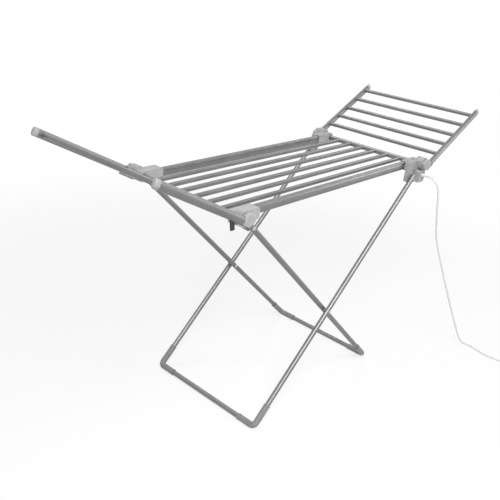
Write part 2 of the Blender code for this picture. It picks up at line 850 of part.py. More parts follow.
def make_legs():
    inner = [
        make_leg("inner_leg_near", 1, -inner_leg_y, pivot_pin_diameter),
        make_leg("inner_leg_far", 1, inner_leg_y, pivot_pin_diameter),
        make_foot_tube("inner_foot_tube", 1, inner_leg_y),
        make_elbow("inner_elbow_near", 1, -inner_leg_y),
        make_elbow("inner_elbow_far", 1, inner_leg_y),
        make_leg_cap("inner_leg_cap_near", 1, -inner_leg_y),
        make_leg_cap("inner_leg_cap_far", 1, inner_leg_y),
        make_rivet("crossing_rivet_near", -1),
        make_rivet("crossing_rivet_far", 1),
    ]
    outer = [
        make_leg("outer_leg_near", -1, -outer_leg_y, stud_diameter),
        make_leg("outer_leg_far", -1, outer_leg_y, stud_diameter),
        make_foot_tube("outer_foot_tube", -1, outer_leg_y),
        make_elbow("outer_elbow_near", -1, -outer_leg_y),
        make_elbow("outer_elbow_far", -1, outer_leg_y),
        make_hook_stud("hook_stud_near", -1),
        make_hook_stud("hook_stud_far", 1),
    ]
    make_pivot_pin("pivot_pin_near", -1)
    make_pivot_pin("pivot_pin_far", 1)
    hang_on(joint_empty("leg_fold_axis", (-pivot_x, 0, pivot_z)), inner)
    hang_on(joint_empty("leg_crossing_axis", (0, 0, crossing_z)), outer)


def rocker_place():
    x = housing_x + housing_length / 2 - rocker_pivot_depth
    return Vector((x, housing_y, relief_z))


def make_switch_housing():
    # A closed housing under the right near corner. The rocker's pocket opens to +X.
    name = "switch_housing"
    left = housing_x - housing_length / 2
    right = housing_x + housing_length / 2
    outline = rounded_rectangle(left, right, housing_top_z - housing_height, housing_top_z, housing_corner)
    piece = upright_plate(name, outline, housing_front_y, housing_front_y + housing_width)
    bevelled(piece, housing_edge, 2)
    pivot = rocker_place()
    half_width = rocker_width / 2 + rocker_clearance
    half_length = rocker_length / 2 + rocker_clearance
    low = (right - rocker_pocket, pivot.y - half_width, pivot.z - half_length)
    high = (right + cut_overrun, pivot.y + half_width, pivot.z + half_length)
    combine(piece, box(name + "_rocker_pocket", low, high), "DIFFERENCE")
    finish(piece, grey_plastic)


def make_rocker():
    # A rocker with two shallow faces, turned to its off position.
    pivot = rocker_place()
    half = rocker_length / 2
    tip = rocker_pivot_depth - rocker_sink
    ridge = tip - half * sin(radians(rocker_angle_degrees))
    outline = [(ridge, 0), (tip, half), (tip - rocker_rise, half)]
    outline += arc((0, 0), rocker_boss, pi / 3, pi * 5 / 3)
    outline += [(tip - rocker_rise, -half), (tip, -half)]
    place = Matrix.Translation(pivot) @ Matrix.Rotation(radians(rocker_angle_degrees), 4, "Y") @ facing_y
    rocker = plate("power_rocker", [outline], place, rocker_width)
    finish(bevelled(rocker, rocker_clearance, 1), black_plastic)
    hang_on(joint_empty("rocker_axis", pivot), [rocker])


def make_strain_relief():
    # A tapered sleeve with grooves that lets the cord bend.
    base = relief_base_diameter / 2
    tip = relief_tip_diameter / 2
    pitch = relief_length / (relief_rib_count * 2 + 2)
    profile = [(0, relief_length), (tip, relief_length)]
    for index in range(relief_rib_count):
        height = relief_length - pitch * (2 * index + 1)
        share = height / relief_length
        radius = base + (tip - base) * share
        profile.append((radius, height + pitch / 2))
        profile.append((radius - relief_groove, height))
        profile.append((radius, height - pitch / 2))
    profile += [(base, pitch), (base, 0), (0, 0)]
    start = Vector((housing_x, housing_front_y - fit_gap, relief_z))
    relief = turned("strain_relief", profile, start, start + Vector((0, -relief_length, 0)), pin_sides)
    finish(relief, white_plastic)


def smooth_route(route, step):
    # A smooth curve through the route's points, read at even steps. The first and the
    # last run stay straight.
    guide = [Vector(point) for point in route]
    fine = []
    for index in range(1, len(guide) - 2):
        before, here, ahead, after = guide[index - 1:index + 3]
        leave = (ahead - before) / 2
        arrive = (after - here) / 2
        for tick in range(route_steps):
            t = tick / route_steps
            fine.append(
                here * (2 * t ** 3 - 3 * t ** 2 + 1)
                + leave * (t ** 3 - 2 * t ** 2 + t)
                + ahead * (3 * t ** 2 - 2 * t ** 3)
                + arrive * (t ** 3 - t ** 2)
            )
    fine.append(guide[-2])
    lengths = [0]
    for first, second in zip(fine, fine[1:]):
        lengths.append(lengths[-1] + (second - first).length)
    total = lengths[-1]
    runs = ceil(total / step)
    points = [guide[0]]
    index = 0
    for number in range(runs + 1):
        goal = total * number / runs
        while index < len(lengths) - 2 and lengths[index + 1] < goal:
            index += 1
        share = (goal - lengths[index]) / (lengths[index + 1] - lengths[index])
        points.append(fine[index].lerp(fine[index + 1], share))
    points.append(guide[-1])
    return points


def coil_line():
    # Half the turns spiral in on the floor, the rest spiral out on top of them.
    count = coil_turns * coil_points_per_turn
    points = []
    for index in range(count + 1):
        turn = index / coil_points_per_turn
        inward = min(turn, coil_turns - turn)
        radius = coil_radius - coil_pitch * inward
        angle = pi + 2 * pi * turn
        climb = min(max(2 * (turn - coil_turns / 2) + 1 / 2, 0), 1)
        x = coil_centre[0] + radius * cos(angle)
        y = coil_centre[1] + radius * sin(angle)
        z = cord_radius + coil_layer_rise * climb * climb * (3 - 2 * climb)
        points.append(Vector((x, y, z)))
    lead = Vector((0, cord_diameter, 0))
    tail = Vector((0, coil_tail, 0))
    return [points[0] + lead] + points + [points[-1] - tail + lead, points[-1] - tail]


def line_length(points):
    return sum((second - first).length for first, second in zip(points, points[1:]))


def print_least_gap(points):
    # The least gap between parts of the coil that are more than a few steps apart.
    least = coil_radius
    apart = coil_points_per_turn // 3
    for index, point in enumerate(points):
        for other in range(index + apart, len(points) - 1):
            start = points[other]
            run = points[other + 1] - start
            share = min(max((point - start).dot(run) / run.length_squared, 0), 1)
            least = min(least, (start + run * share - point).length - cord_diameter)
    print(f"The coil's least gap to itself is {least * 1000:.2f} mm")


def make_cord():
    start = Vector((housing_x, housing_front_y - 2 * fit_gap - relief_length, relief_z))
    coil_points = coil_line()
    end = coil_points[0] + Vector((0, fit_gap, 0))
    lead = Vector((0, -cord_diameter, 0))
    route = [start, start + lead] + list(cord_route) + [end - lead, end]
    points = smooth_route(route, cord_point_step)
    cord = swept("cord", points, cord_diameter, 2)
    finish(cord, white_plastic)
    coil = swept("cord_coil", coil_points, cord_diameter, 1)
    finish(coil, white_plastic)
    print_least_gap(coil_points)
    print(f"The cord is {line_length(points):.3f} m free and {line_length(coil_points):.3f} m in the coil")
    make_plug(coil_points[-1])


def make_plug(cord_end):
    # A three-pin plug that lies on its back, with its pins up.
    name = "plug"
    x = cord_end.x
    neck_start = cord_end.y - fit_gap
    body_start = neck_start - plug_neck_length
    body_end = body_start - plug_length
    middle = (body_start + body_end) / 2
    outline = rounded_rectangle(x - plug_width / 2, x + plug_width / 2, body_end, body_start, plug_corner)
    place = Matrix.Translation((0, 0, plug_thickness / 2))
    piece = bevelled(plate(name, [outline], place, plug_thickness), plug_edge, 2)
    neck = round_bar(
        name + "_neck",
        (x, body_start - plug_corner, cord_end.z),
        (x, neck_start, cord_end.z),
        plug_neck_diameter,
        tube_sides,
    )
    combine(piece, neck, "UNION")
    pins = [
        ("live", -pin_spread / 2, pin_earth_offset / 2, pin_length, pin_thickness),
        ("neutral", pin_spread / 2, pin_earth_offset / 2, pin_length, pin_thickness),
        ("earth", 0, -pin_earth_offset, pin_thickness, pin_earth_length),
    ]
    for word, across, along, length, thickness in pins:
        low = (x + across - length / 2, middle + along - thickness / 2, plug_thickness / 2)
        high = (x + across + length / 2, middle + along + thickness / 2, plug_thickness + pin_rise)
        combine(piece, box(f"{name}_{word}_pin", low, high), "UNION")
    finish(piece, white_plastic)


start_empty()
parts = new_collection("heated_clothes_airer")
cutters = new_collection("cutters")

silver_paint = new_material("silver_painted_tube", (0.48, 0.49, 0.50), 0.38, 0.6)
grey_plastic = new_material("light_grey_plastic", (0.55, 0.56, 0.57), 0.5, 0)
white_plastic = new_material("white_plastic", (0.80, 0.80, 0.78), 0.45, 0)
black_plastic = new_material("black_plastic", (0.02, 0.02, 0.02), 0.4, 0)
bright_steel = new_material("bright_steel", (0.65, 0.65, 0.65), 0.25, 1)
red_cable = new_material("silicone_heating_cable", (0.45, 0.06, 0.04), 0.5, 0)

make_side_rail("side_rail_near", -1)
make_side_rail("side_rail_far", 1)
make_inner_bars()
make_end_rail("end_rail_left", -1)
make_end_rail("end_rail_right", 1)
for end_word, end_side in (("left", -1), ("right", 1)):
    for flank_word, flank_side in (("near", -1), ("far", 1)):
        make_corner(f"corner_{end_word}_{flank_word}", end_side, flank_side)
make_rack_cable()
make_wing("left", -1)
make_wing("right", 1)
make_legs()
make_switch_housing()
make_rocker()
make_strain_relief()
make_cord()
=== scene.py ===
import json
from math import ceil, copysign, cos, pi, radians, sin

import bmesh
import bpy
from mathutils import Matrix, Vector


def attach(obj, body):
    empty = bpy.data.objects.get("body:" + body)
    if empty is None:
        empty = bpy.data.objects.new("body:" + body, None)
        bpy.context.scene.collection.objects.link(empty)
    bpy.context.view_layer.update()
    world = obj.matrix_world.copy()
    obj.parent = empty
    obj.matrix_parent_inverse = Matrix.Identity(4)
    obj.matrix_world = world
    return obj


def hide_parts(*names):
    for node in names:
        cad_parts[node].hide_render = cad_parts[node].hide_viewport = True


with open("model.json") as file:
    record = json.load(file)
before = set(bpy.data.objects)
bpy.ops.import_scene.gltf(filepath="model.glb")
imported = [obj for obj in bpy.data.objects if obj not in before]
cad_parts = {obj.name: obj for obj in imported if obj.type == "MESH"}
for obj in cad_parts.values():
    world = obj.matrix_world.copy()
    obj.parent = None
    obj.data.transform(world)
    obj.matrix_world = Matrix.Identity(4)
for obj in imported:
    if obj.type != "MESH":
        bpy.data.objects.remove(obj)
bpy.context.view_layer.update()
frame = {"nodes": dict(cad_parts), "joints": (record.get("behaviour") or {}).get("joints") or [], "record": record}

# The looks of a winged, heated clothes airer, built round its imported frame.
# Metres, +Z up. Near is -Y, left is -X, and the camera stands to the near left.

print("frame loaded:", len(frame["nodes"]), "nodes")

mm = 0.001
wings = (("left", -1), ("right", 1))      # with the sign of their X
flanks = (("Near", -1), ("Far", 1))       # with the sign of their Y


# Small helpers

meshing = {
    "weld": 0.000005,         # points nearer than this become one
    "smoothAngle": 35,        # degrees, and a sharper edge stays crisp
}


def hexColour(text):
    # An sRGB hex value as linear red, green, blue and alpha.
    channels = [int(text[start:start + 2], 16) / 255 for start in (0, 2, 4)]
    linear = [c / 12.92 if c <= 0.04045 else ((c + 0.055) / 1.055) ** 2.4 for c in channels]
    return (*linear, 1)


def addNode(tree, kind, settings=None, inputs=None):
    # One node with its settings. An input is a value, or a socket to link from.
    node = tree.nodes.new(kind)
    for key, value in (settings or {}).items():
        setattr(node, key, value)
    for key, value in (inputs or {}).items():
        if isinstance(value, bpy.types.NodeSocket):
            tree.links.new(value, node.inputs[key])
        else:
            node.inputs[key].default_value = value
    return node


def newMaterial(name):
    material = bpy.data.materials.new(name)
    material.use_nodes = True
    tree = material.node_tree
    return material, tree, tree.nodes["Principled BSDF"]


def placeMesh(name, mesh, material):
    # A finished mesh as a piece at the origin, with one material.
    mesh.materials.clear()
    mesh.materials.append(material)
    mesh.shade_smooth()
    mesh.set_sharp_from_angle(angle=radians(meshing["smoothAngle"]))
    piece = bpy.data.objects.new(name, mesh)
    bpy.context.scene.collection.objects.link(piece)
    return piece


def newPiece(name, shape, material):
    # The same from a bmesh, which is used up.
    mesh = bpy.data.meshes.new(name)
    bmesh.ops.remove_doubles(shape, verts=shape.verts, dist=meshing["weld"])
    bmesh.ops.recalc_face_normals(shape, faces=shape.faces)
    shape.to_mesh(mesh)
    shape.free()
    return placeMesh(name, mesh, material)


def jointPlace(name):
    joint = next(j for j in frame["joints"] if j["name"] == name)
    return Vector(joint["pos_m"])


# Camera, at the photograph's place

view = {
    "place": (-1.7288, -1.3447, 1.4333),
    "lens": 48.22,
    "sensor": 36,
    "yaw": 0.7108,      # radians from +X towards +Y
    "pitch": -0.4177,
    "roll": -0.0985,
    "reach": 50,        # how far it sees, in metres
}


def makeCamera():
    yaw, pitch, roll = view["yaw"], view["pitch"], view["roll"]
    ahead = Vector((cos(pitch) * cos(yaw), cos(pitch) * sin(yaw), sin(pitch)))
    level = Vector((sin(yaw), -cos(yaw), 0))
    down = ahead.cross(level)
    right = level * cos(roll) + down * sin(roll)
    up = right.cross(ahead)
    turn = Matrix((right, up, -ahead)).transposed().to_4x4()
    data = bpy.data.cameras.new("photoCamera")
    data.lens = view["lens"]
    data.sensor_width = view["sensor"]
    data.clip_end = view["reach"]
    camera = bpy.data.objects.new("photoCamera", data)
    camera.matrix_world = Matrix.Translation(view["place"]) @ turn
    bpy.context.scene.collection.objects.link(camera)
    bpy.context.scene.camera = camera


makeCamera()
print("camera set")


# Floor, backdrop and lights

studio = {
    "white": "ffffff",
    "skyStrength": 0.27,     # as it lights the airer: the background itself is white
    "floorSize": 60,
    "floorColour": "f2f2f2",
    "floorRoughness": 0.9,
    "floorSpecular": 0.1,
    "floorGlow": 0.74,       # share of plain white that the camera sees under the airer
    "fadeStart": 1.1,        # metres from the middle where the floor starts to turn white
    "fadeEnd": 2.6,
}

# The three key lights stand in a row, so that their streak runs down the whole of a leg.
lamps = {
    "keyLightLow": {
        "place": (-2.0, -1.75, 2.3), "size": 0.9, "power": 33, "target": (-0.2, -0.2, 0.3),
    },
    "keyLightMiddle": {
        "place": (-1.2, -1.6, 2.7), "size": 0.9, "power": 31, "target": (0, -0.2, 0.5),
    },
    "keyLightHigh": {
        "place": (-0.35, -1.4, 2.95), "size": 0.9, "power": 29, "target": (0.2, -0.2, 0.7),
    },
    "fillLight": {
        "place": (2.7, -0.5, 2.1), "size": 1.0, "power": 12, "target": (0, 0, 0.7),
    },
    "sideLight": {
        "place": (2.4, -1.9, 0.75), "size": 0.7, "power": 9, "target": (-0.3, -0.1, 0.8),
    },
    "topLight": {
        "place": (0.5, 1.4, 3.3), "size": 0.9, "power": 20, "target": (0.1, 0, 0.7),
    },
}


def backgroundRays(tree):
    # One for the rays that should meet a plain white background, otherwise zero.
    path = addNode(tree, "ShaderNodeLightPath")
    seen = path.outputs["Is Camera Ray"]
    for kind in ("Is Glossy Ray", "Is Transmission Ray"):
        either = addNode(tree, "ShaderNodeMath", {"operation": "MAXIMUM"}, {
            0: seen,
            1: path.outputs[kind],
        })
        seen = either.outputs[0]
    return seen


def makeWorld():
    world = bpy.data.worlds.new("studio")
    world.use_nodes = True
    tree = world.node_tree
    back = tree.nodes["Background"]
    strength = addNode(tree, "ShaderNodeMapRange", inputs={
        "Value": backgroundRays(tree),
        "To Min": studio["skyStrength"],
        "To Max": 1.0,
    })
    back.inputs["Color"].default_value = hexColour(studio["white"])
    tree.links.new(strength.outputs["Result"], back.inputs["Strength"])
    bpy.context.scene.world = world


def makeFloor():
    # Pale paper, which turns to the background's plain white away from the airer.
    material, tree, shader = newMaterial("palePaperBackdrop")
    shader.inputs["Base Color"].default_value = hexColour(studio["floorColour"])
    shader.inputs["Roughness"].default_value = studio["floorRoughness"]
    shader.inputs["Specular IOR Level"].default_value = studio["floorSpecular"]
    spot = addNode(tree, "ShaderNodeTexCoord").outputs["Object"]
    away = addNode(tree, "ShaderNodeVectorMath", {"operation": "LENGTH"}, {0: spot})
    glow = addNode(tree, "ShaderNodeMapRange", {"interpolation_type": "SMOOTHSTEP"}, {
        "Value": away.outputs["Value"],
        "From Min": studio["fadeStart"],
        "From Max": studio["fadeEnd"],
        "To Min": studio["floorGlow"],
        "To Max": 1.0,
    })
    share = addNode(tree, "ShaderNodeMath", {"operation": "MULTIPLY"}, {
        0: backgroundRays(tree),
        1: glow.outputs["Result"],
    })
    white = addNode(tree, "ShaderNodeEmission", inputs={
        "Color": hexColour(studio["white"]),
        "Strength": 1.0,
    })
    blend = addNode(tree, "ShaderNodeMixShader", inputs={
        0: share.outputs[0],
        1: shader.outputs[0],
        2: white.outputs[0],
    })
    tree.links.new(blend.outputs[0], tree.nodes["Material Output"].inputs["Surface"])
    shape = bmesh.new()
    bmesh.ops.create_grid(shape, x_segments=1, y_segments=1, size=studio["floorSize"] / 2)
    floor = newPiece("studioFloor", shape, material)


def makeLamps():
    for name, lamp in lamps.items():
        data = bpy.data.lights.new(name, "AREA")
        data.size = lamp["size"]
        data.energy = lamp["power"]
        light = bpy.data.objects.new(name, data)
        aim = Vector(lamp["target"]) - Vector(lamp["place"])
        turn = aim.to_track_quat("-Z", "Y").to_matrix().to_4x4()
        light.matrix_world = Matrix.Translation(lamp["place"]) @ turn
        bpy.context.scene.collection.objects.link(light)


bpy.context.scene.view_settings.view_transform = "Standard"
makeWorld()
makeFloor()
makeLamps()
print("studio set")


# Materials: noise that is fixed to the piece varies its colour, gloss and skin

def spotNoise(tree, size, detail=2.0):
    # Spots about as large as size.
    spot = addNode(tree, "ShaderNodeTexCoord").outputs["Object"]
    noise = addNode(tree, "ShaderNodeTexNoise", inputs={
        "Vector": spot,
        "Scale": 1 / size,
        "Detail": detail,
    })
    return noise.outputs["Fac"]


def varyColour(tree, shader, pattern, tones, span=(0.0, 1.0)):
    ramp = addNode(tree, "ShaderNodeValToRGB", inputs={"Fac": pattern})
    for index in (0, 1):
        stop = ramp.color_ramp.elements[index]
        stop.position = span[index]
        stop.color = hexColour(tones[index])
    tree.links.new(ramp.outputs["Color"], shader.inputs["Base Color"])


def varyGloss(tree, shader, pattern, roughness):
    gloss = addNode(tree, "ShaderNodeMapRange", inputs={
        "Value": pattern,
        "To Min": roughness[0],
        "To Max": roughness[1],
    })
    tree.links.new(gloss.outputs["Result"], shader.inputs["Roughness"])


def addSkin(tree, shader, pattern, strength, depth):
    bump = addNode(tree, "ShaderNodeBump", inputs={
        "Strength": strength,
        "Distance": depth,
        "Height": pattern,
    })
    tree.links.new(bump.outputs["Normal"], shader.inputs["Normal"])


silverCoat = {
    "tones": ("757576", "878687"),
    "toneSpan": (0.35, 1.0),
    "flakeSize": 1.6 * mm,
    "flakeShare": 0.35,       # of the flakes in the colour, beside the clouds
    "cloudSize": 90 * mm,
    "cloudDetail": 3.0,
    "roughness": (0.37, 0.41),
    "peelSize": 2.5 * mm,
    "peelDetail": 1.0,
    "peelDepth": 0.02 * mm,
    "peelStrength": 0.03,
    "metallic": 0.85,
}


def powderCoatedSteel():
    # Steel tube sprayed with silver powder and baked: a soft sheen, a fine sparkle from the
    # flakes and a slight orange-peel skin.
    material, tree, shader = newMaterial("powderCoatedSteelBaked")
    flakes = spotNoise(tree, silverCoat["flakeSize"])
    clouds = spotNoise(tree, silverCoat["cloudSize"], silverCoat["cloudDetail"])
    tone = addNode(tree, "ShaderNodeMath", {"operation": "MULTIPLY_ADD"}, {
        0: flakes,
        1: silverCoat["flakeShare"],
        2: clouds,
    })
    varyColour(tree, shader, tone.outputs[0], silverCoat["tones"], silverCoat["toneSpan"])
    varyGloss(tree, shader, clouds, silverCoat["roughness"])
    peel = spotNoise(tree, silverCoat["peelSize"], silverCoat["peelDetail"])
    addSkin(tree, shader, peel, silverCoat["peelStrength"], silverCoat["peelDepth"])
    shader.inputs["Metallic"].default_value = silverCoat["metallic"]
    return material


greyPlastic = {
    "nylonTones": ("949495", "a2a2a3"),              # corners, knuckles and arm caps
    "polypropyleneTones": ("7a7a7b", "868687"),      # elbows
    "toneSpan": (0.3, 0.7),
    "cloudSize": 25 * mm,
    "grainSize": 0.9 * mm,
    "grainDetail": 3.0,
    "grainDepth": 0.08 * mm,
    "grainStrength": 0.25,
    "roughness": (0.42, 0.62),
}


def mouldedGreyPlastic(name, tones):
    # Filled plastic moulded in a spark-eroded tool: grey with a fine, dull grain.
    material, tree, shader = newMaterial(name)
    grain = spotNoise(tree, greyPlastic["grainSize"], greyPlastic["grainDetail"])
    clouds = spotNoise(tree, greyPlastic["cloudSize"])
    varyColour(tree, shader, clouds, tones, greyPlastic["toneSpan"])
    varyGloss(tree, shader, grain, greyPlastic["roughness"])
    addSkin(tree, shader, grain, greyPlastic["grainStrength"], greyPlastic["grainDepth"])
    return material


sheath = {
    "tones": ("cfcfce", "dededc"),
    "waveSize": 6 * mm,
    "waveDepth": 0.05 * mm,
    "waveStrength": 0.1,
    "roughness": (0.36, 0.5),
}


def mouldedWhitePvc():
    # Soft PVC, extruded for the cord and moulded for its ends: white with a low sheen.
    material, tree, shader = newMaterial("whitePvcExtruded")
    waves = spotNoise(tree, sheath["waveSize"])
    varyColour(tree, shader, waves, sheath["tones"])
    varyGloss(tree, shader, waves, sheath["roughness"])
    addSkin(tree, shader, waves, sheath["waveStrength"], sheath["waveDepth"])
    return material


plug = {
    "tones": ("dfdfdd", "e9e9e7"),
    "waveSize": 4 * mm,
    "roughness": (0.34, 0.46),
    "top": 0.0227,            # of the plug's body above the floor, and its pins are higher
    "pinTone": "c6b98f",
    "pinRoughness": 0.3,
}


def plugPvcAndBrass():
    # The plug: white PVC moulded round three brass pins, which stand above its top.
    material, tree, shader = newMaterial("whitePvcMouldedRoundBrassPins")
    waves = spotNoise(tree, plug["waveSize"])
    varyColour(tree, shader, waves, plug["tones"])
    varyGloss(tree, shader, waves, plug["roughness"])
    pins = addNode(tree, "ShaderNodeBsdfPrincipled", inputs={
        "Base Color": hexColour(plug["pinTone"]),
        "Roughness": plug["pinRoughness"],
        "Metallic": 1.0,
    })
    spot = addNode(tree, "ShaderNodeTexCoord").outputs["Object"]
    height = addNode(tree, "ShaderNodeSeparateXYZ", inputs={"Vector": spot})
    above = addNode(tree, "ShaderNodeMath", {"operation": "GREATER_THAN"}, {
        0: height.outputs["Z"],
        1: plug["top"],
    })
    blend = addNode(tree, "ShaderNodeMixShader", inputs={
        0: above.outputs[0],
        1: shader.outputs[0],
        2: pins.outputs[0],
    })
    tree.links.new(blend.outputs[0], tree.nodes["Material Output"].inputs["Surface"])
    return material


blackPlastic = {"tones": ("18181a", "202022"), "hazeSize": 3 * mm, "roughness": (0.22, 0.38)}


def mouldedBlackAbs():
    # Black ABS moulded against a polished tool: dark with a clear gloss.
    material, tree, shader = newMaterial("blackAbsMoulded")
    haze = spotNoise(tree, blackPlastic["hazeSize"])
    varyColour(tree, shader, haze, blackPlastic["tones"])
    varyGloss(tree, shader, haze, blackPlastic["roughness"])
    return material


plating = {"tones": ("b9babb", "d2d3d4"), "markSize": 0.7 * mm, "roughness": (0.18, 0.34)}


def platedSteel():
    # Steel turned on a lathe and zinc plated: bright, with faint tool marks in its gloss.
    material, tree, shader = newMaterial("zincPlatedSteelTurned")
    marks = spotNoise(tree, plating["markSize"])
    varyColour(tree, shader, marks, plating["tones"])
    varyGloss(tree, shader, marks, plating["roughness"])
    shader.inputs["Metallic"].default_value = 1.0
    return material


silicone = {"tones": ("8c2a20", "a4382c"), "waveSize": 4 * mm, "roughness": 0.6}


def redSilicone():
    # Silicone rubber extruded over the heating wire: dull red.
    material, tree, shader = newMaterial("redSiliconeExtruded")
    waves = spotNoise(tree, silicone["waveSize"])
    varyColour(tree, shader, waves, silicone["tones"])
    shader.inputs["Roughness"].default_value = silicone["roughness"]
    return material


finishes = {
    "silver_painted_tube": powderCoatedSteel(),
    "light_grey_plastic": mouldedGreyPlastic("greyNylonMoulded", greyPlastic["nylonTones"]),
    "white_plastic": mouldedWhitePvc(),
    "black_plastic": mouldedBlackAbs(),
    "bright_steel": platedSteel(),
    "silicone_heating_cable": redSilicone(),
}

elbowPlastic = mouldedGreyPlastic("greyPolypropyleneMoulded", greyPlastic["polypropyleneTones"])
plugPlastic = plugPvcAndBrass()


def dressNodes():
    slotOf = {part["node"]: part["material_slot"] for part in frame["record"]["subparts"]}
    for name, node in frame["nodes"].items():
        for slot in node.material_slots:
            slot.material = plugPlastic if name == "plug" else finishes[slotOf[name]]


dressNodes()
print("frame dressed")


# Shapes shared by several pieces

def bridge(shape, loops):
    # Faces between each loop of corners and the next.
    for first, second in zip(loops, loops[1:]):
        for index in range(len(first)):
            after = (index + 1) % len(first)
            shape.faces.new((first[index], first[after], second[after], second[index]))


def loft(shape, rings):
    # Skin between rings of points, closed with a flat face at both ends.
    rows = [[shape.verts.new(point) for point in ring] for ring in rings]
    bridge(shape, rows)
    shape.faces.new(rows[0])
    shape.faces.new(rows[-1])


def ovalSection(across, up, power, sides=48):
    # A power of 2 is an ellipse, more is squarer.
    points = []
    for index in range(sides):
        turn = 2 * pi * (index + 0.5) / sides
        x = copysign(abs(cos(turn)) ** (2 / power) * across, cos(turn))
        y = copysign(abs(sin(turn)) ** (2 / power) * up, sin(turn))
        points.append((x, y))
    return points


def ovalRod(name, place, across, up, power, stations, material):
    # place turns (along, across, up) into a point. A station is a place along the rod and
    # how much smaller the section is there on every side.
    shape = bmesh.new()
    rings = []
    for along, shrink in stations:
        section = ovalSection(across - shrink, up - shrink, power)
        rings.append([place(along, x, y) for x, y in section])
    loft(shape, rings)
    return newPiece(name, shape, material)


def roundedEnd(end, radius, steps=6):
    # Stations of an end whose edge is rounded.
    stations = []
    for step in range(steps + 1):
        turn = pi / 2 * step / steps
        stations.append((end - radius * (1 - sin(turn)), radius * (1 - cos(turn))))
    return stations


def outlineBlock(name, outline, yStart, yEnd, material, edge, segments, roundFrom=40):
    # An outline in X and Z between two values of Y. Edges that turn by more than
    # roundFrom degrees are rounded.
    shape = bmesh.new()
    loft(shape, [[Vector((x, y, z)) for x, z in outline] for y in (yStart, yEnd)])
    piece = newPiece(name, shape, material)
    bevel = piece.modifiers.new("roundedEdges", "BEVEL")
    bevel.width = edge
    bevel.segments = segments
    bevel.limit_method = "ANGLE"
    bevel.angle_limit = radians(roundFrom)
    return piece


def roundedLoop(width, height, corner, steps=6):
    # Points of a rounded rectangle round the origin.
    points = []
    for signX, signZ, start in ((1, -1, -pi / 2), (1, 1, 0), (-1, 1, pi / 2), (-1, -1, pi)):
        for step in range(steps + 1):
            turn = start + pi / 2 * step / steps
            points.append((
                signX * (width / 2 - corner) + corner * cos(turn),
                signZ * (height / 2 - corner) + corner * sin(turn),
            ))
    return points


def ringPiece(name, outer, inner, place, back, front, material):
    # A flat ring between two loops with as many points each.
    shape = bmesh.new()
    loops = []
    for loop, depth in ((outer, back), (outer, front), (inner, front), (inner, back)):
        loops.append([shape.verts.new(place(depth, *point)) for point in loop])
    bridge(shape, loops + loops[:1])
    return newPiece(name, shape, material)


# Side rails: the tall oval tubes along both flanks

sideRail = {
    "y": 0.197,
    "z": 0.778,
    "width": 0.0168,
    "height": 0.0298,
    "power": 2.8,
    "halfLength": 0.4632,
    "edge": 0.0005,          # chamfer at both ends
}


def makeSideRail(word, depth):
    def place(along, across, up):
        return Vector((along, depth * (sideRail["y"] + across), sideRail["z"] + up))

    half, edge = sideRail["halfLength"], sideRail["edge"]
    rail = ovalRod(
        "sideRail" + word,
        place,
        sideRail["width"] / 2,
        sideRail["height"] / 2,
        sideRail["power"],
        [(-half, edge), (edge - half, 0), (half - edge, 0), (half, edge)],
        finishes["silver_painted_tube"],
    )
    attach(rail, "rack")
    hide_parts("side_rail_" + word.lower())


for word, depth in flanks:
    makeSideRail(word, depth)
print("side rails made")


# Wing arms, their end caps and the knuckles that they turn on

arm = {
    "tilt": radians(27.4),
    "drop": 0.0135,          # of the arm's middle below the hinge pin
    "innerY": 0.2436,
    "outerY": 0.2596,
    "height": 0.0248,
    "power": 2.15,
    "tubeStart": 0.0163,     # places along the arm are measured from the hinge pin
    "edge": 0.0006,          # chamfer where the tube and the cap start
    "capStart": 0.3505,
    "capEnd": 0.3660,
    "capRound": 0.0045,
    "capWall": 0.0003,       # of the cap outside the tube
    "capOverlap": 0.002,     # of the tube inside the cap
}

# The knuckle at the heel of an arm
heel = {
    "front": 0.016,
    "crest": 0.006,          # where its flat top starts to slope down to the arm
    "radius": 0.026,
    "sweep": pi * 2 / 3,
    "steps": 20,
    "edge": 0.0024,
    "edgeSteps": 4,
    "pinSink": 0.0008,       # of its outer face behind the screw's face
}


def armPoint(side, along, offset, y):
    hinge = jointPlace("left_wing_hinge" if side < 0 else "right_wing_hinge")
    x = side * (along * cos(arm["tilt"]) - offset * sin(arm["tilt"]))
    z = along * sin(arm["tilt"]) + offset * cos(arm["tilt"])
    return Vector((hinge.x + x, y, hinge.z + z))


def knuckleOutline(side):
    radius, steps = heel["radius"], heel["steps"]
    corners = [(heel["front"], -radius)]
    for step in range(steps + 1):
        turn = -pi / 2 - heel["sweep"] * step / steps
        corners.append((radius * cos(turn), radius * sin(turn)))
    corners.append((heel["crest"], radius / 2))
    corners.append((heel["front"], arm["height"] / 2 - arm["drop"]))
    points = [armPoint(side, along, offset, 0) for along, offset in corners]
    return [(point.x, point.z) for point in points]


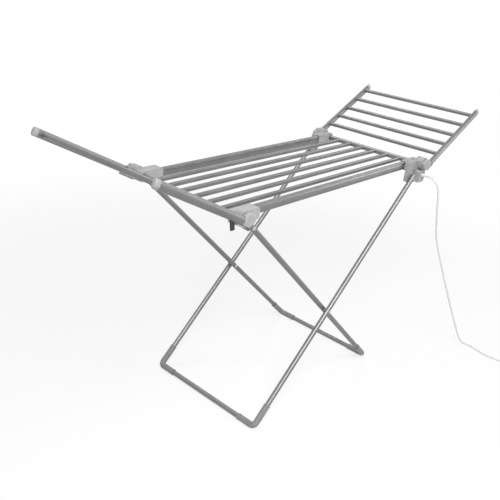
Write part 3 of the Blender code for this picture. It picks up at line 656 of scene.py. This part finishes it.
def makeArm(wing, side, word, depth):
    middle = (arm["innerY"] + arm["outerY"]) / 2
    half = (arm["outerY"] - arm["innerY"]) / 2
    edge = arm["edge"]

    def place(along, across, up):
        return armPoint(side, along, up - arm["drop"], depth * (middle + across))

    start = arm["tubeStart"]
    tube = ovalRod(
        f"{wing}WingArm{word}",
        place,
        half - arm["capWall"],
        arm["height"] / 2,
        arm["power"],
        [(start, edge), (start + edge, 0), (arm["capStart"] + arm["capOverlap"], 0)],
        finishes["silver_painted_tube"],
    )
    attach(tube, wing + "_wing")
    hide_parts(f"{wing}_wing_arm_{word.lower()}")

    start = arm["capStart"]
    cap = ovalRod(
        f"{wing}WingArmCap{word}",
        place,
        half,
        arm["height"] / 2 + arm["capWall"],
        arm["power"],
        [(start, edge), (start + edge, 0)] + roundedEnd(arm["capEnd"], arm["capRound"]),
        finishes["light_grey_plastic"],
    )
    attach(cap, wing + "_wing")

    knuckle = outlineBlock(
        f"{wing}WingKnuckle{word}",
        knuckleOutline(side),
        depth * arm["innerY"],
        depth * (arm["outerY"] - heel["pinSink"]),
        finishes["light_grey_plastic"],
        heel["edge"],
        heel["edgeSteps"],
    )
    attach(knuckle, wing + "_wing")
    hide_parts(f"wing_pin_{wing}_{word.lower()}")


for wing, side in wings:
    for word, depth in flanks:
        makeArm(wing, side, word, depth)
print("wing arms made")


# Heated bars: round tubes in rows, one row for each body

bars = {
    "rackDiameter": 0.015,
    "rackHalfLength": 0.4717,
    "rackCount": 6,
    "rackPitch": 0.394 / 7,
    "wingDiameter": 0.014,
    "wingHalfLength": 0.2478,
    "wingPlaces": (0.0759, 0.1381, 0.1988, 0.2668, 0.3340),      # along the arms
    "sides": 32,
}


def pointCloud(name, places, facing):
    # Loose points that carry the direction in which their copies face.
    mesh = bpy.data.meshes.new(name)
    mesh.from_pydata([tuple(place) for place in places], [], [])
    holder = mesh.attributes.new("facing", "FLOAT_VECTOR", "POINT")
    for item, direction in zip(holder.data, facing):
        item.vector = direction
    source = bpy.data.objects.new(name, mesh)
    bpy.context.scene.collection.objects.link(source)
    return source


def newTree(name, sizes):
    tree = bpy.data.node_groups.new(name, "GeometryNodeTree")
    sockets = tree.interface
    sockets.new_socket("Geometry", in_out="INPUT", socket_type="NodeSocketGeometry")
    for word, value in sizes.items():
        kind = "NodeSocketInt" if isinstance(value, int) else "NodeSocketFloat"
        sockets.new_socket(word, in_out="INPUT", socket_type=kind).default_value = value
    sockets.new_socket("Geometry", in_out="OUTPUT", socket_type="NodeSocketGeometry")
    return tree, addNode(tree, "NodeGroupInput").outputs


def finishTree(tree, enter, copied, material):
    # The shape stands on every point, turned to face its way.
    facing = addNode(tree, "GeometryNodeInputNamedAttribute", {"data_type": "FLOAT_VECTOR"}, {
        "Name": "facing",
    })
    turn = addNode(tree, "FunctionNodeAlignRotationToVector", {"axis": "Z"}, {
        "Vector": facing.outputs["Attribute"],
    })
    copies = addNode(tree, "GeometryNodeInstanceOnPoints", inputs={
        "Points": enter["Geometry"],
        "Instance": copied,
        "Rotation": turn.outputs["Rotation"],
    })
    real = addNode(tree, "GeometryNodeRealizeInstances", inputs={
        "Geometry": copies.outputs["Instances"],
    })
    painted = addNode(tree, "GeometryNodeSetMaterial", inputs={
        "Geometry": real.outputs["Geometry"],
        "Material": material,
    })
    addNode(tree, "NodeGroupOutput", inputs={"Geometry": painted.outputs["Geometry"]})


def growPiece(name, source, tree, values, material):
    # Runs the tree on the source and keeps the result as a plain mesh.
    modifier = source.modifiers.new("grow", "NODES")
    modifier.node_group = tree
    for item in tree.interface.items_tree:
        if item.in_out == "INPUT" and item.name in values:
            modifier[item.identifier] = values[item.name]
    graph = bpy.context.evaluated_depsgraph_get()
    mesh = bpy.data.meshes.new_from_object(source.evaluated_get(graph))
    bpy.data.objects.remove(source)
    mesh.name = name
    return placeMesh(name, mesh, material)


def barSizes(diameter, halfLength):
    return {"Diameter": diameter, "Length": 2 * halfLength, "Sides": bars["sides"]}


def makeBarTree(sizes):
    tree, enter = newTree("roundBars", sizes)
    radius = addNode(tree, "ShaderNodeMath", {"operation": "MULTIPLY"}, {
        0: enter["Diameter"],
        1: 0.5,
    })
    bar = addNode(tree, "GeometryNodeMeshCylinder", inputs={
        "Vertices": enter["Sides"],
        "Radius": radius.outputs[0],
        "Depth": enter["Length"],
    })
    finishTree(tree, enter, bar.outputs["Mesh"], finishes["silver_painted_tube"])
    return tree


def makeBars():
    silver = finishes["silver_painted_tube"]
    rackSizes = barSizes(bars["rackDiameter"], bars["rackHalfLength"])
    wingSizes = barSizes(bars["wingDiameter"], bars["wingHalfLength"])
    tree = makeBarTree(rackSizes)
    places = []
    for index in range(bars["rackCount"]):
        y = bars["rackPitch"] * (index - (bars["rackCount"] - 1) / 2)
        places.append((0, y, sideRail["z"]))
    source = pointCloud("rackBarPlaces", places, [(1, 0, 0)] * len(places))
    row = growPiece("rackBars", source, tree, rackSizes, silver)
    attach(row, "rack")
    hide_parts(*[f"rack_bar_{number}" for number in range(1, 7)])
    for wing, side in wings:
        places = [armPoint(side, along, -arm["drop"], 0) for along in bars["wingPlaces"]]
        source = pointCloud(wing + "WingBarPlaces", places, [(0, 1, 0)] * len(places))
        row = growPiece(wing + "WingBars", source, tree, wingSizes, silver)
        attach(row, wing + "_wing")
        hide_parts(*[f"{wing}_wing_bar_{number}" for number in range(1, 6)])


makeBars()
print("heated bars made")


# Screws with a cross recess, in the corners, the knuckles and the switch housing

screw = {
    "radius": 0.0036,
    "height": 0.0014,
    "recessLength": 0.0044,
    "recessWidth": 0.0010,
    "recessDepth": 0.0007,
    "sides": 28,
    "sleeveX": (0.412, 0.452),       # down through the sleeves into the side rails
    "sleeveY": 0.2060,
    "sleeveTop": 0.795,
    "housingX": (0.4555, 0.4875),    # up into the switch housing
    "housingY": -0.2216,
    "housingBottom": 0.7147,
    "lift": 0.0002,                  # of the head's middle off the face
}


def makeScrewTree():
    tree, enter = newTree("crossHeadScrews", {
        "Radius": screw["radius"],
        "Height": screw["height"],
        "Recess length": screw["recessLength"],
        "Recess width": screw["recessWidth"],
        "Recess depth": screw["recessDepth"],
    })
    head = addNode(tree, "GeometryNodeMeshCylinder", inputs={
        "Vertices": screw["sides"],
        "Radius": enter["Radius"],
        "Depth": enter["Height"],
    })
    # The cut's middle is at the top of the head, so half of the cut is in the head.
    deep = addNode(tree, "ShaderNodeMath", {"operation": "MULTIPLY"}, {
        0: enter["Recess depth"],
        1: 2.0,
    })
    rise = addNode(tree, "ShaderNodeMath", {"operation": "MULTIPLY"}, {
        0: enter["Height"],
        1: 0.5,
    })
    lift = addNode(tree, "ShaderNodeCombineXYZ", inputs={"Z": rise.outputs[0]})
    cuts = []
    for first, second in (("X", "Y"), ("Y", "X")):
        size = addNode(tree, "ShaderNodeCombineXYZ", inputs={
            first: enter["Recess length"],
            second: enter["Recess width"],
            "Z": deep.outputs[0],
        })
        cut = addNode(tree, "GeometryNodeMeshCube", inputs={"Size": size.outputs[0]})
        moved = addNode(tree, "GeometryNodeTransform", inputs={
            "Geometry": cut.outputs["Mesh"],
            "Translation": lift.outputs[0],
        })
        cuts.append(moved.outputs["Geometry"])
    shape = head.outputs["Mesh"]
    for cut in cuts:
        shape = addNode(tree, "GeometryNodeMeshBoolean", {"operation": "DIFFERENCE"}, {
            "Mesh 1": shape,
            "Mesh 2": cut,
        }).outputs["Mesh"]
    finishTree(tree, enter, shape, finishes["bright_steel"])
    return tree


def screwPlaces():
    # For each body, the middle of every head and the way that it faces.
    places = {"rack": [], "left_wing": [], "right_wing": []}
    top = screw["sleeveTop"] + screw["lift"]
    bottom = screw["housingBottom"] - screw["lift"]
    pinEnd = arm["outerY"] - screw["height"] / 2
    for wing, side in wings:
        for word, depth in flanks:
            for x in screw["sleeveX"]:
                places["rack"].append(((side * x, depth * screw["sleeveY"], top), (0, 0, 1)))
            places[wing + "_wing"].append((armPoint(side, 0, 0, depth * pinEnd), (0, depth, 0)))
    for x in screw["housingX"]:
        places["rack"].append(((x, screw["housingY"], bottom), (0, 0, -1)))
    return places


def makeScrews():
    tree = makeScrewTree()
    for body, pairs in screwPlaces().items():
        places, facing = zip(*pairs)
        source = pointCloud(body + "ScrewPlaces", places, facing)
        name = body.replace("_w", "W") + "Screws"
        screws = growPiece(name, source, tree, {}, finishes["bright_steel"])
        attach(screws, body)


makeScrews()
print("screws made")


# Elbows: moulded sleeves with a rim at both mouths, flat where they stand

elbow = {
    "footX": 0.3325,
    "footZ": 0.010,
    "pivotX": 0.418,
    "pivotZ": 0.734,
    "innerY": 0.21475,
    "outerY": 0.23385,
    "legReach": 0.081,
    "floorReach": 0.070,
    "bend": 0.015,
    "radius": 0.01075,
    "rim": 0.0006,
    "rimLength": 0.0035,
    "rimEdge": 0.0004,       # chamfer of the rim at the mouth
    "rimSlope": 0.0006,      # length over which the rim runs out into the sleeve
    "mouth": 0.0090,         # radius of the flat face that closes a mouth
    "bendSteps": 14,
    "sides": 36,
}


def sleeveRun(foot, direction, sign, reach):
    # Centre, direction and radius of the sections from a mouth to where its rim ends.
    wide = elbow["radius"] + elbow["rim"]
    run = []
    for along, size in (
        (reach, elbow["mouth"]),
        (reach, wide - elbow["rimEdge"]),
        (reach - elbow["rimEdge"], wide),
        (reach - elbow["rimLength"], wide),
        (reach - elbow["rimLength"] - elbow["rimSlope"], elbow["radius"]),
    ):
        run.append((foot + direction * along, direction * sign, size))
    return run


def elbowBend(foot, up, inward):
    bend, steps = elbow["bend"], elbow["bendSteps"]
    centre = foot + (up + inward) * bend
    sections = []
    for step in range(steps + 1):
        turn = pi / 2 * step / steps
        spot = centre - inward * bend * cos(turn) - up * bend * sin(turn)
        sections.append((spot, inward * sin(turn) - up * cos(turn), elbow["radius"]))
    return sections


def makeElbow(name, side, y, body, node):
    foot = Vector((side * elbow["footX"], y, elbow["footZ"]))
    legRun = -side * (elbow["pivotX"] + elbow["footX"])
    up = Vector((legRun, 0, elbow["pivotZ"] - elbow["footZ"])).normalized()
    inward = Vector((0, -copysign(1, y), 0))
    normal = up.cross(inward)
    sections = sleeveRun(foot, up, -1, elbow["legReach"])
    sections += elbowBend(foot, up, inward)
    sections += reversed(sleeveRun(foot, inward, 1, elbow["floorReach"]))
    rings = []
    for centre, direction, size in sections:
        across = direction.cross(normal)
        ring = []
        for index in range(elbow["sides"]):
            turn = 2 * pi * index / elbow["sides"]
            point = centre + (normal * cos(turn) + across * sin(turn)) * size
            point.z = max(point.z, 0)      # the flat that it stands on
            ring.append(point)
        rings.append(ring)
    shape = bmesh.new()
    loft(shape, rings)
    piece = newPiece(name, shape, elbowPlastic)
    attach(piece, body)
    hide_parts(node)


for legs, side in (("inner", 1), ("outer", -1)):
    for word, depth in flanks:
        makeElbow(
            f"{legs}Elbow{word}",
            side,
            depth * elbow[legs + "Y"],
            legs + "_legs",
            f"{legs}_elbow_{word.lower()}",
        )
print("elbows made")


# The black tab under the near arm of the left wing

tab = {
    "along": 0.0586,         # its place along the arm
    "width": 0.0155,
    "drop": 0.027,
    "root": 0.004,           # how far it goes up into the arm
    "slant": 0.14,
    "thickness": 0.0042,
    "round": 0.0028,
    "roundSteps": 4,
    "edge": 0.0010,
    "edgeSteps": 3,
}


def makeTab():
    middle = -(arm["innerY"] + arm["outerY"]) / 2
    top = armPoint(-1, tab["along"], -heel["radius"], 0)
    height = tab["drop"] + tab["root"]
    centre = top.z + tab["root"] - height / 2
    outline = []
    for x, z in roundedLoop(tab["width"], height, tab["round"], tab["roundSteps"]):
        z += centre
        outline.append((top.x + x + tab["slant"] * (top.z - z), z))
    piece = outlineBlock(
        "leftWingPullTab",
        outline,
        middle - tab["thickness"] / 2,
        middle + tab["thickness"] / 2,
        finishes["black_plastic"],
        tab["edge"],
        tab["edgeSteps"],
    )
    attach(piece, "left_wing")


makeTab()
print("pull tab made")


# Switch: a bezel round the rocker, with generic on and off marks on the rocker itself

switch = {
    "x": 0.4925,             # of the housing's face
    "bezelHeight": 0.0290,
    "bezelWidth": 0.0205,
    "bezelRound": 0.0040,
    "bezelProud": 0.0009,
    "bezelSink": 0.0004,     # into the housing
    "openHeight": 0.0222,
    "openWidth": 0.0142,
    "openRound": 0.0006,
    "rockerTip": 0.0055,     # from the rocker's pin to its raised edges
    "rockerHalf": 0.0105,
    "rockerAngle": radians(6),
    "markPlace": 0.0060,     # of each mark from the rocker's middle
    "markSize": 0.0016,
    "markLine": 0.0006,
    "markProud": 0.00015,
    "markSink": 0.0002,      # into the rocker
    "markSides": 24,
}


def makeBezel(pivot):
    def onHousing(depth, across, up):
        return Vector((switch["x"] + depth, pivot.y + across, pivot.z + up))

    bezel = ringPiece(
        "switchBezel",
        roundedLoop(switch["bezelWidth"], switch["bezelHeight"], switch["bezelRound"]),
        roundedLoop(switch["openWidth"], switch["openHeight"], switch["openRound"]),
        onHousing,
        -switch["bezelSink"],
        switch["bezelProud"],
        finishes["black_plastic"],
    )
    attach(bezel, "rack")


def makeMarks(pivot):
    # The off ring is on the rocker's lower half, the on bar on its upper half.
    tilt = Matrix.Rotation(switch["rockerAngle"], 4, "Y")

    def onRocker(depth, across, up):
        rise = (switch["rockerHalf"] - abs(up)) * sin(switch["rockerAngle"])
        return pivot + tilt @ Vector((switch["rockerTip"] - rise + depth, across, up))

    size, line, middle = switch["markSize"], switch["markLine"], switch["markPlace"]
    back, front = -switch["markSink"], switch["markProud"]
    sides = switch["markSides"]
    turns = [2 * pi * index / sides for index in range(sides)]
    ring = ringPiece(
        "rockerOffMark",
        [(size * cos(turn), size * sin(turn) - middle) for turn in turns],
        [((size - line) * cos(turn), (size - line) * sin(turn) - middle) for turn in turns],
        onRocker,
        back,
        front,
        finishes["white_plastic"],
    )
    shape = bmesh.new()
    half, low, high = line / 2, middle - size, middle + size
    corners = ((-half, low), (half, low), (half, high), (-half, high))
    loft(shape, [[onRocker(depth, *corner) for corner in corners] for depth in (back, front)])
    bar = newPiece("rockerOnMark", shape, finishes["white_plastic"])
    for mark in (ring, bar):
        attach(mark, "rocker")


makeBezel(jointPlace("power_rocker_tilt"))
makeMarks(jointPlace("power_rocker_tilt"))
print("switch made")


# Cord, wound for storage where its length isn't seen

cord = {
    "diameter": 0.007,
    "sideSteps": 5,          # more is rounder
    "exit": (0.4715, -0.2687, 0.7432),
    "length": 1.82,
    "coilTurns": 3,
    "coilPoints": 36,        # in each turn
    "coilRadius": 0.0415,
    "coilPitch": 0.008,
    "coilRise": 0.0079,
    "coilCentre": (0.8, -0.715),
    "coilTail": 0.042,
    "step": 0.009,           # between the points of the free run
}

# The same route points as the solid cord has
cordRoute = (
    (0.4725, -0.2930, 0.7380),
    (0.4760, -0.3100, 0.7200),
    (0.4830, -0.3170, 0.6900),
    (0.5020, -0.3190, 0.6150),
    (0.5400, -0.3220, 0.4980),
    (0.5830, -0.3420, 0.3920),
    (0.6330, -0.3670, 0.2720),
    (0.6830, -0.3930, 0.1560),
    (0.7170, -0.4120, 0.0780),
    (0.7380, -0.4260, 0.0300),
    (0.7520, -0.4430, 0.0080),
    (0.7590, -0.4700, 0.0035),
    (0.7520, -0.5050, 0.0035),
    (0.7430, -0.5500, 0.0035),
    (0.7480, -0.6000, 0.0035),
    (0.7560, -0.6500, 0.0035),
)


def evenPoints(line, step):
    # Points at equal distances along the line, at most step apart.
    lengths = [0]
    for first, second in zip(line, line[1:]):
        lengths.append(lengths[-1] + (second - first).length)
    runs = ceil(lengths[-1] / step)
    points = []
    index = 0
    for number in range(runs + 1):
        goal = lengths[-1] * number / runs
        while index < len(lengths) - 2 and lengths[index + 1] < goal:
            index += 1
        share = (goal - lengths[index]) / (lengths[index + 1] - lengths[index])
        points.append(line[index].lerp(line[index + 1], share))
    return points


def smoothRoute(route, step, ticks=24):
    # A smooth curve through the route's points, with straight first and last runs.
    guide = [Vector(point) for point in route]
    fine = []
    for index in range(1, len(guide) - 2):
        before, here, ahead, after = guide[index - 1:index + 3]
        leave = (ahead - before) / 2
        arrive = (after - here) / 2
        for tick in range(ticks):
            t = tick / ticks
            fine.append(
                here * (2 * t ** 3 - 3 * t ** 2 + 1)
                + leave * (t ** 3 - 2 * t ** 2 + t)
                + ahead * (3 * t ** 2 - 2 * t ** 3)
                + arrive * (t ** 3 - t ** 2)
            )
    fine.append(guide[-2])
    return [guide[0]] + evenPoints(fine, step) + [guide[-1]]


def coilLine():
    # Half the turns spiral in on the floor, the rest spiral out on top of them.
    points = []
    turns = cord["coilTurns"]
    middleX, middleY = cord["coilCentre"]
    for index in range(turns * cord["coilPoints"] + 1):
        turn = index / cord["coilPoints"]
        reach = cord["coilRadius"] - cord["coilPitch"] * min(turn, turns - turn)
        angle = pi + 2 * pi * turn
        climb = min(max(2 * (turn - turns / 2) + 0.5, 0), 1)      # in the middle half turn
        points.append(Vector((
            middleX + reach * cos(angle),
            middleY + reach * sin(angle),
            cord["diameter"] / 2 + cord["coilRise"] * climb * climb * (3 - 2 * climb),
        )))
    return points


tie = {
    "width": 0.0035,
    "thickness": 0.0009,
    "inner": 0.0275,         # from the middle of the coil to both sides of the tie
    "outer": 0.0435,
    "top": 0.0153,
    "round": 0.0034,
}


def makeTie():
    # A flat plastic tie round the coil's turns, on the side towards the airer.
    middleX, middleY = cord["coilCentre"]
    middle = (tie["inner"] + tie["outer"]) / 2
    across, tall, wall = tie["outer"] - tie["inner"], tie["top"], tie["thickness"]

    def place(depth, out, up):
        return Vector((middleX + depth, middleY + middle + out, up + tall / 2))

    band = ringPiece(
        "cordTie",
        roundedLoop(across, tall, tie["round"]),
        roundedLoop(across - 2 * wall, tall - 2 * wall, tie["round"] - wall),
        place,
        -tie["width"] / 2,
        tie["width"] / 2,
        finishes["black_plastic"],
    )
    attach(band, "rack")
    return band


def makeCord():
    radius = cord["diameter"] / 2
    coil = coilLine()
    lead = Vector((0, -cord["diameter"], 0))
    start = Vector(cord["exit"])
    coilStart = coil[0] - lead
    route = [start, start + lead] + list(cordRoute) + [coilStart - lead, coilStart]
    points = smoothRoute(route, cord["step"])
    tail = Vector((0, -cord["coilTail"], 0))
    points += coil + [coil[-1] + tail / 3, coil[-1] + tail * 2 / 3, coil[-1] + tail]
    curve = bpy.data.curves.new("mainsCord", "CURVE")
    curve.dimensions = "3D"
    curve.bevel_depth = radius
    curve.bevel_resolution = cord["sideSteps"]
    curve.use_fill_caps = True
    spline = curve.splines.new("POLY")
    spline.points.add(len(points) - 1)
    for point, place in zip(spline.points, points):
        point.co = (place.x, place.y, max(place.z, radius), 1)
    spline.use_smooth = True
    curve.materials.append(finishes["white_plastic"])
    piece = bpy.data.objects.new("mainsCord", curve)
    bpy.context.scene.collection.objects.link(piece)
    total = sum((b - a).length for a, b in zip(points, points[1:]))
    print("cord length", round(total, 4), "points", len(points))
    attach(piece, "rack")
    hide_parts("cord", "cord_coil")
    makeTie()


makeCord()
print("cord made")
